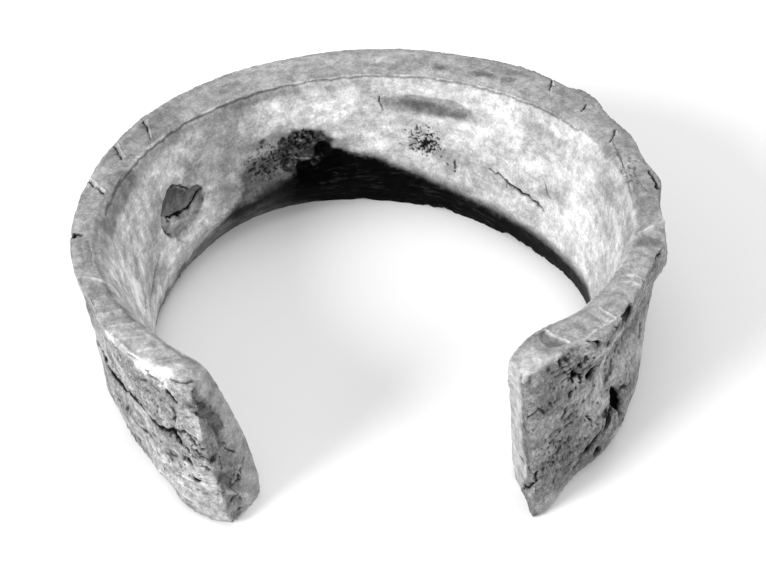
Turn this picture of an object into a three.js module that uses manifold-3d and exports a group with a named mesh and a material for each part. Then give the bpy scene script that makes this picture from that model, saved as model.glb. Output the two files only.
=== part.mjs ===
// An open cuff bracelet carved from one piece: a band with a flat upper rim, a bore that flares
// towards the rim, a broken and lamellar outer face, and two worn terminals with a gap at the front.
// Millimetres, +Z up. The bracelet lies on its lower rim and the gap faces -Y.
import * as THREE from "three";
import { mergeVertices } from "three/addons/utils/BufferGeometryUtils.js";
import Module from "manifold-3d";

// Band
const height = 21.5;
const boreRadius = 30.8; // mean radius of the bore at the rim
const boreOval = 0.9; // the bore is wider from side to side
const boreBackSet = 0.8; // and flatter at the back
const noseRadius = 27.9; // narrowest part of the bore, just above the lower rim
const noseLevel = 0.16; // its level, as a share of the height
const boreFlare = 1.6; // how late the bore opens towards the rim
const rimRadius = 35.5; // outer edge of the upper rim
const rimSideShift = 0.4; // the rim is heavier on the right
const footRadius = 33.3; // outer edge of the lower rim
const faceBelly = 0.55; // swell of the outer face between the rims

// Terminals, as angles about the axis: 0 is right, 90 back, 180 left, 270 front
const leftEndTop = 234.7;
const leftEndSweep = 7.1; // the lower part of the left end reaches further into the gap
const leftEndOuter = 237.4;
const leftEndOuterSweep = 3.9;
const rightEndTop = -61.0;
const rightEndSweep = 4.9; // the lower part of the right end falls back from the gap
const rightEndOuter = -61.0;
const endRounding = 1.7; // wear round the edge of each end face
const endShrink = 0.14; // loss of thickness at the ends
const endDrop = 0.05; // and of height

// Breakage of the rims
const rightBreakFrom = -40; // the outer part of the rim is lost from here to the right end
const rightBreakTo = -55;
const rightBreak = 3.0;
const footLossAngle = 118; // the inner edge of the lower rim has crumbled at the back left
const footLossWidth = 48;
const footLoss = 0.45; // as a share of the wall

// Where the bore stands further in at the upper rim, and at its narrowest: angle, half width, rise
const boreLips = [
  [-52, 15, 2.1],
  [-36, 26, 1.25],
  [222, 22, 0.5],
];
const noseSwells = [
  [44, 34, 1.2],
  [200, 36, 1.6],
];
// Local swells of the upper rim's outer edge: angle, half width, rise
const rimSwells = [
  [50, 20, 0.8],
  [36, 8, 1.3],
  [12, 9, -0.6],
  [6, 4, 0.5],
  [-4, 14, -0.9],
  [-31, 12, 0.3],
  [135, 42, 0.5],
  [204, 9, -0.5],
];
// Local swells of the lower rim's outer edge
const footSwells = [
  [236, 24, 0.9],
  [-62, 17, 2.8],
  [-38, 30, 0.6],
  [120, 40, 0.4],
];
// Where the outer corner of the upper rim has worn down to a slope: angle, half width, loss
const rimCorners = [
  [-28, 24, 1.35],
];
const cornerLevel = 0.84; // where that slope begins
// Rolls of the weathered outer face: waves round the band, drift with height, phase, depth
const faceRolls = [
  [5, 0.05, 0.4, 0.22],
  [11, -0.16, 1.7, 0.2],
  [19, 0.3, 0.9, 0.17],
  [31, -0.42, 2.6, 0.12],
];
// Broad hollows (below zero) and swells of the outer face: angle, half width, level, half height, rise
const faceShapes = [
  [207, 26, 0.62, 0.5, -1.2],
  [-29, 26, 0.62, 0.42, -3.5],
  [-13, 12, 0.86, 0.2, 0.6],
  [-40, 26, 0.2, 0.32, 0.6],
];
// Ledges where layers have split off the outer face: angle, half width, level, depth
const faceLedges = [
  [219, 17, 0.58, 0.55],
  [222, 16, 0.26, 0.4],
  [-38, 17, 0.5, 0.5],
  [-20, 16, 0.3, 0.45],
];

// Cuts across the upper rim: angle, width, depth, start and end across the rim, slant
const rimCuts = [
  [168.0, 0.5, 0.35, 0.3, 1.1, 14],
  [156.2, 0.5, 0.32, 0.35, 1.1, 16],
  [144.7, 0.5, 0.32, 0.35, 1.1, 12],
  [184.0, 0.7, 0.5, 0.72, 1.1, -8],
  [201.5, 0.7, 0.3, 0.35, 1.1, 20],
  [211.8, 0.7, 0.3, 0.3, 1.1, 18],
  [45.0, 0.45, 0.3, 0.3, 1.1, -14],
  [33.9, 0.45, 0.3, 0.25, 0.8, -16],
  [22.8, 0.45, 0.3, 0.3, 0.9, -12],
  [-12.6, 0.7, 0.3, 0.25, 1.1, -14],
  [-26.2, 0.6, 0.25, 0.2, 1.1, -12],
  [-39.6, 0.7, 0.3, 0.05, 0.85, -10],
  [-42.2, 0.7, 0.3, 0.35, 0.95, 62],
];
// Flakes lost from the bore: angle, height, half width, half height, depth, turn
const boreFlakes = [
  [148.6, 12.0, 2.6, 2.5, 0.75, 30],
  [144.0, 10.8, 2.7, 2.3, 0.75, 34],
  [151.3, 8.3, 3.6, 1.3, 0.5, 52],
  [73.0, 17.0, 6.2, 1.3, 0.3, -4],
  [73.8, 10.9, 1.8, 1.9, 0.3, 20],
  [101.9, 10.6, 0.9, 1.1, 0.7, 20],
  [107.8, 8.0, 1.0, 0.7, 0.7, -30],
];
// Holes in the outer face: angle, height, half width, half height, depth, turn
const faceHoles = [
  [234.4, 9.9, 0.7, 0.6, 0.8, 0],
  [235.2, 7.0, 0.8, 0.4, 0.7, 0],
  [-35.0, 7.2, 0.55, 1.6, 1.1, -10],
  [-45.0, 15.9, 1.0, 0.5, 0.8, 0],
  [-49.4, 17.6, 0.6, 0.5, 0.7, -30],
  [-42.8, 3.0, 0.6, 0.7, 0.8, 0],
];
// The main split along the left arm: angle and height of each point
const splitPath = [
  [198.0, 10.5],
  [203.0, 11.2],
  [209.4, 10.6],
  [214.5, 12.4],
  [220.5, 14.3],
  [224.6, 12.6],
  [231.4, 14.2],
  [235.2, 12.0],
];
const splitWidth = 0.5;
const splitDepth = 1.2;
// The groove down the left end, between its smooth inner strip and the crust: angle, radius, height
const endGroovePath = [
  [237.4, 34.2, 18.0],
  [238.7, 32.2, 13.4],
  [240.0, 31.4, 7.2],
  [241.0, 32.2, 2.0],
];
const endGrooveWidth = 0.7;
const endGrooveDepth = 0.8;
// The scooped top of the right end: angle, radius, half length, half width, depth
const endScoop = [-51.4, 31.0, 2.0, 1.4, 0.45];

// Steps along the band, and how much closer they lie near the ends
const steps = 108;
const stepCrowding = 0.42;

// The band's section: position through the wall from bore to outer face, and level from foot to rim
const sectionPoints = [
  [0.11, 0],
  [0.5, 0],
  [0.9, 0],
  [0.985, 0.03],
  [1, 0.1],
  [1, 0.2],
  [1, 0.31],
  [1, 0.42],
  [1, 0.53],
  [1, 0.64],
  [1, 0.75],
  [1, 0.86],
  [1, 0.96],
  [0.97, 0.993],
  [0.72, 1],
  [0.42, 1],
  [0.16, 0.998],
  [0.04, 0.978],
  [0, 0.93],
  [0, 0.79],
  [0, 0.64],
  [0, 0.49],
  [0, 0.34],
  [0, 0.23],
  [0.01, 0.13],
  [0.05, 0.05],
];

const toRadians = THREE.MathUtils.degToRad;
const { clamp, lerp, smoothstep } = THREE.MathUtils;

// A smooth hump that is 1 at the centre and 0 at the half width
function hump(angle, centre, halfWidth) {
  const offset = clamp(Math.abs(angle - centre) / halfWidth, 0, 1);
  return Math.cos((offset * Math.PI) / 2) ** 2;
}

function boreAt(angle, level) {
  const turn = toRadians(angle);
  let top = boreRadius + boreOval * Math.cos(2 * turn) - boreBackSet * Math.sin(turn);
  for (const [centre, halfWidth, rise] of boreLips) top -= rise * hump(angle, centre, halfWidth);
  let nose = noseRadius;
  for (const [centre, halfWidth, rise] of noseSwells) nose -= rise * hump(angle, centre, halfWidth);
  const open = clamp((level - noseLevel) / (1 - noseLevel), 0, 1);
  return nose + (top - nose) * open ** boreFlare;
}

function faceAt(angle, level) {
  const turn = toRadians(angle);
  let top = rimRadius + rimSideShift * Math.cos(turn);
  for (const [centre, halfWidth, rise] of rimSwells) top += rise * hump(angle, centre, halfWidth);
  top -= rightBreak * smoothstep(-angle, -rightBreakFrom, -rightBreakTo);
  let foot = footRadius;
  for (const [centre, halfWidth, rise] of footSwells) foot += rise * hump(angle, centre, halfWidth);
  const away = Math.sin(Math.PI * level);
  let radius = lerp(foot, top, level) + faceBelly * away;
  for (const [waves, drift, phase, depth] of faceRolls) {
    radius += depth * away * Math.sin(waves * turn + drift * level * height + phase);
  }
  for (const [centre, halfWidth, middle, halfHeight, rise] of faceShapes) {
    radius += rise * hump(angle, centre, halfWidth) * hump(level, middle, halfHeight);
  }
  for (const [centre, halfWidth, loss] of rimCorners) {
    radius -= loss * hump(angle, centre, halfWidth) * smoothstep(level, cornerLevel, 1);
  }
  for (const [centre, halfWidth, ledge, depth] of faceLedges) {
    const step = smoothstep(level, ledge - 0.05, ledge + 0.05) - 0.5;
    radius += depth * away * step * hump(angle, centre, halfWidth);
  }
  return radius;
}

// The angles of the two ends at a place in the section
function leftEnd(across, level) {
  const inner = leftEndTop + leftEndSweep * (1 - level) ** 0.75;
  return lerp(inner, leftEndOuter + leftEndOuterSweep * (1 - level), across);
}

function rightEnd(across, level) {
  const inner = rightEndTop + rightEndSweep * smoothstep(1 - level, 0.02, 0.7);
  return lerp(inner, rightEndOuter, across);
}

// A place in the straight strip, carried round to its place in the bracelet
function wrap(across, level, along) {
  const crowded = along - (stepCrowding * Math.sin(2 * Math.PI * along)) / (2 * Math.PI);
  const arc = toRadians(leftEndTop - rightEndTop) * rimRadius;
  const toEnd = Math.min(crowded, 1 - crowded) * arc;
  const wear = clamp(1 - toEnd / endRounding, 0, 1) ** 2;
  const wornAcross = 0.5 + (across - 0.5) * (1 - endShrink * wear * lerp(0.3, 1, level));
  const wornLevel = level > 0.5 ? 0.5 + (level - 0.5) * (1 - endDrop * wear) : level;
  const angle = lerp(leftEnd(across, level), rightEnd(across, level), crowded);
  const crumbled = footLoss * hump(angle, footLossAngle, footLossWidth) * clamp(1 - level / 0.2, 0, 1);
  const share = wornAcross + crumbled * (1 - wornAcross);
  const radius = lerp(boreAt(angle, wornLevel), faceAt(angle, wornLevel), share);
  const turn = toRadians(angle);
  return new THREE.Vector3(radius * Math.cos(turn), radius * Math.sin(turn), wornLevel * height);
}

function bandGeometry() {
  const section = new THREE.Shape(sectionPoints.map(([across, level]) => new THREE.Vector2(across, level)));
  const strip = new THREE.ExtrudeGeometry(section, { depth: 1, steps, bevelEnabled: false });
  const places = strip.getAttribute("position");
  for (let i = 0; i < places.count; i += 1) {
    const place = wrap(places.getX(i), places.getY(i), places.getZ(i));
    places.setXYZ(i, place.x, place.y, place.z);
  }
  return strip;
}

// A body turned to stand at a place on the band: its x runs round the band, y outwards, z up
function placed(geometry, angle, radius, level, turnOutward = 0, turnUp = 0) {
  const frame = new THREE.Matrix4().makeRotationZ(toRadians(angle - 90));
  frame.multiply(new THREE.Matrix4().makeTranslation(0, radius, level));
  frame.multiply(new THREE.Matrix4().makeRotationY(toRadians(turnOutward)));
  frame.multiply(new THREE.Matrix4().makeRotationZ(toRadians(turnUp)));
  return geometry.applyMatrix4(frame);
}

function rimCutGeometry([angle, width, depth, start, end, slant]) {
  const inner = boreAt(angle, 1);
  const outer = faceAt(angle, 1);
  const from = lerp(inner, outer, start);
  const to = lerp(inner, outer, end);
  const wedge = new THREE.Shape([
    new THREE.Vector2(-width, depth),
    new THREE.Vector2(0, -depth),
    new THREE.Vector2(width, depth),
  ]);
  const geometry = new THREE.ExtrudeGeometry(wedge, { depth: to - from, bevelEnabled: false });
  geometry.rotateX(Math.PI / 2);
  geometry.translate(0, (to - from) / 2, 0);
  return placed(geometry, angle, (from + to) / 2, height, 0, slant);
}

function lensGeometry(halfWidth, depth, halfHeight) {
  return new THREE.SphereGeometry(1, 12, 8).scale(halfWidth, depth, halfHeight);
}

function boreFlakeGeometry([angle, level, halfWidth, halfHeight, depth, turn]) {
  const lens = lensGeometry(halfWidth, depth, halfHeight);
  return placed(lens, angle, boreAt(angle, level / height), level, turn);
}

function faceHoleGeometry([angle, level, halfWidth, halfHeight, depth, turn]) {
  const lens = lensGeometry(halfWidth, depth, halfHeight);
  return placed(lens, angle, faceAt(angle, level / height), level, turn);
}

function endScoopGeometry() {
  const [angle, radius, halfLength, halfWidth, depth] = endScoop;
  return placed(lensGeometry(halfLength, halfWidth, depth), angle, radius, height);
}

// A narrow blade that follows a line of points given by angle, radius and height
function bladeGeometry(points, width, depth) {
  const places = points.map(([angle, radius, level]) => {
    const turn = toRadians(angle);
    return new THREE.Vector3(radius * Math.cos(turn), radius * Math.sin(turn), level);
  });
  const path = new THREE.CatmullRomCurve3(places);
  const blade = new THREE.Shape();
  const corners = 4;
  for (let i = 0; i < corners; i += 1) {
    const turn = (i / corners) * 2 * Math.PI;
    const x = depth * Math.cos(turn);
    const y = (width / 2) * Math.sin(turn);
    if (i === 0) blade.moveTo(x, y);
    else blade.lineTo(x, y);
  }
  return new THREE.ExtrudeGeometry(blade, { steps: 14, extrudePath: path, bevelEnabled: false });
}

function splitGeometry() {
  const points = splitPath.map(([angle, level]) => [angle, faceAt(angle, level / height), level]);
  return bladeGeometry(points, splitWidth, splitDepth);
}

function endGrooveGeometry() {
  return bladeGeometry(endGroovePath, endGrooveDepth, endGrooveWidth);
}

const wasm = await Module();
wasm.setup();

function solidFrom(geometry) {
  geometry.deleteAttribute("normal");
  geometry.deleteAttribute("uv");
  const merged = mergeVertices(geometry, 1e-4);
  const vertProperties = new Float32Array(merged.getAttribute("position").array);
  const triVerts = new Uint32Array(merged.index.array);
  return new wasm.Manifold(new wasm.Mesh({ numProp: 3, vertProperties, triVerts }));
}

function geometryFrom(solid) {
  const mesh = solid.getMesh();
  const geometry = new THREE.BufferGeometry();
  geometry.setAttribute("position", new THREE.BufferAttribute(mesh.vertProperties, 3));
  geometry.setIndex(new THREE.BufferAttribute(mesh.triVerts, 1));
  return geometry;
}

const cutters = [
  ...rimCuts.map(rimCutGeometry),
  ...boreFlakes.map(boreFlakeGeometry),
  ...faceHoles.map(faceHoleGeometry),
  endScoopGeometry(),
  splitGeometry(),
  endGrooveGeometry(),
];

let bracelet = solidFrom(bandGeometry());
for (const cutter of cutters) bracelet = bracelet.subtract(solidFrom(cutter));

const geometry = geometryFrom(bracelet);
geometry.computeBoundingBox();
const middle = geometry.boundingBox.getCenter(new THREE.Vector3());
geometry.translate(-middle.x, -middle.y, -geometry.boundingBox.min.z);
geometry.computeVertexNormals();

const weatheredIvory = new THREE.MeshStandardMaterial({ color: 0xb4b2ad, roughness: 0.72, metalness: 0 });
const mesh = new THREE.Mesh(geometry, weatheredIvory);
mesh.name = "bracelet";

const group = new THREE.Group();
group.add(mesh);

export default group;
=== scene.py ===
import math

import bpy
import numpy as np
from mathutils import Matrix, Vector


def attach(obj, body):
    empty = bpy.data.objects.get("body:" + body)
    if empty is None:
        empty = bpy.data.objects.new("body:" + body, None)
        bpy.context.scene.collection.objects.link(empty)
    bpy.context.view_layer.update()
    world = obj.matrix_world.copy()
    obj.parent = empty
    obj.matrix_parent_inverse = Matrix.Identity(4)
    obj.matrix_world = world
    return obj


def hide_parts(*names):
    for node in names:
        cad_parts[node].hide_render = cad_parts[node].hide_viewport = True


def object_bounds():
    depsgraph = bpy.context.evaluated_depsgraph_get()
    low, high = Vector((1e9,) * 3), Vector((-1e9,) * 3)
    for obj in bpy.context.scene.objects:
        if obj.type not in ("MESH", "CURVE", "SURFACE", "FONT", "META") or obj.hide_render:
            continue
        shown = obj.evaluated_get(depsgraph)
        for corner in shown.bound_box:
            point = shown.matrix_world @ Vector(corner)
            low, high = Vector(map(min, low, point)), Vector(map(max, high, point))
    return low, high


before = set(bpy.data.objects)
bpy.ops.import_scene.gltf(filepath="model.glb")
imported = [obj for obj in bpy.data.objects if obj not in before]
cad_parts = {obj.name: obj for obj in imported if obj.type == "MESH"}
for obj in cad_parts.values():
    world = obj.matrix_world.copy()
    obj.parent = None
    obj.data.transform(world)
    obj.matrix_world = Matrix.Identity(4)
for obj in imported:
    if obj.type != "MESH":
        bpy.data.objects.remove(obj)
cadBox = [list(c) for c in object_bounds()]
print("frame loaded", cadBox)

mm = 0.001
axisX, axisY = -0.348, -1.998  # middle of the bore, in mm
bandHeight = 21.5
faceRadius, bandRadius, boreRadius = 34.6, 33, 28.4  # mm, where outer face, wall and bore are unrolled
boxLow, boxHigh = np.array(cadBox[0]) / mm, np.array(cadBox[1]) / mm


def clearSelection():
    if bpy.context.object and bpy.context.object.mode != "OBJECT":
        bpy.ops.object.mode_set(mode="OBJECT")
    bpy.ops.object.select_all(action="DESELECT")


def pick(obj):
    clearSelection()
    obj.select_set(True)
    bpy.context.view_layer.objects.active = obj


# camera

cameraSet = {
    "place": (1.295, -157.054, 142.835),  # mm
    "tilt": 40.7,  # degrees it looks down
    "roll": -2.54,
    "lens": 77.69,
}


def makeCamera():
    tilt = math.radians(cameraSet["tilt"])
    roll = math.radians(cameraSet["roll"])
    back = Vector((0, -math.cos(tilt), math.sin(tilt)))
    side = Vector((1, 0, 0))
    up = back.cross(side)
    right = side * math.cos(roll) + up * math.sin(roll)
    top = up * math.cos(roll) - side * math.sin(roll)
    bpy.ops.object.camera_add()
    camera = bpy.context.object
    camera.name = "camera"
    turn = Matrix((right, top, back)).transposed().to_4x4()
    camera.matrix_world = Matrix.Translation(Vector(cameraSet["place"]) * mm) @ turn
    camera.data.sensor_width = 36
    camera.data.sensor_fit = "HORIZONTAL"
    camera.data.lens = cameraSet["lens"]
    camera.data.clip_start = 0.005
    bpy.context.scene.camera = camera
    print("camera set")


# floor and lights

stageSet = {
    "floorSize": 8.0,  # m
    "floorGrey": 0.9,
    "sky": 0.72,
    "key": {"place": (-1.17, -0.84, 0.78), "size": 0.6, "watts": 27},
    "fill": {"place": (1.35, -0.9, 0.9), "size": 1.2, "watts": 7},
    "top": {"place": (0.0, 0.12, 1.5), "size": 1.2, "watts": 4.2},
}


def makeFloor():
    clearSelection()
    bpy.ops.mesh.primitive_plane_add(size=stageSet["floorSize"], location=(0, 0, 0))
    floor = bpy.context.object
    floor.name = "floor"
    paper = bpy.data.materials.new("palePaper")
    paper.use_nodes = True
    shader = paper.node_tree.nodes["Principled BSDF"]
    grey = stageSet["floorGrey"]
    shader.inputs["Base Color"].default_value = (grey, grey, grey, 1)
    shader.inputs["Roughness"].default_value = 0.9
    shader.inputs["Specular IOR Level"].default_value = 0.1
    floor.data.materials.append(paper)
    print("floor laid")


def addLight(name, place, size, watts):
    bpy.ops.object.light_add(type="AREA", location=place)
    lamp = bpy.context.object
    lamp.name = name
    lamp.data.shape = "DISK"
    lamp.data.size = size
    lamp.data.energy = watts
    aim = Vector((0, 0, 0.01)) - Vector(place)
    lamp.rotation_euler = aim.to_track_quat("-Z", "Y").to_euler()


def makeLights():
    for name in ("key", "fill", "top"):
        addLight(name, **stageSet[name])
    world = bpy.data.worlds.new("studio")
    bpy.context.scene.world = world
    world.use_nodes = True
    sky = stageSet["sky"]
    world.node_tree.nodes["Background"].inputs["Color"].default_value = (sky, sky, sky, 1)
    bpy.context.scene.view_settings.view_transform = "Standard"
    print("lights set")


# noise for wear that is modelled in the mesh

def smooth(low, high, x):
    t = np.clip((x - low) / (high - low), 0, 1)
    return t * t * (3 - 2 * t)


def scatter(cell, seed):
    h = cell[:, 0] * 374761393 + cell[:, 1] * 668265263 + cell[:, 2] * 1442695041 + seed * 69069
    h = (h ^ (h >> 13)) * 1274126177
    h = h ^ (h >> 16)
    return (h & 0xFFFF) / 65535.0


def cloud(points, size, seed, octaves=3):
    total = np.zeros(len(points))
    share, weight = 0.0, 1.0
    p = points / size
    for octave in range(octaves):
        cell = np.floor(p).astype(np.int64)
        f = p - cell
        f = f * f * (3 - 2 * f)
        value = np.zeros(len(p))
        for corner in np.ndindex(2, 2, 2):
            w = np.ones(len(p))
            for k in range(3):
                w = w * (f[:, k] if corner[k] else 1 - f[:, k])
            value += w * scatter(cell + np.array(corner), seed + octave)
        total += weight * value
        share += weight
        weight *= 0.5
        p = p * 2.03 + 17.1
    return total / share


# bracelet

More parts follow.
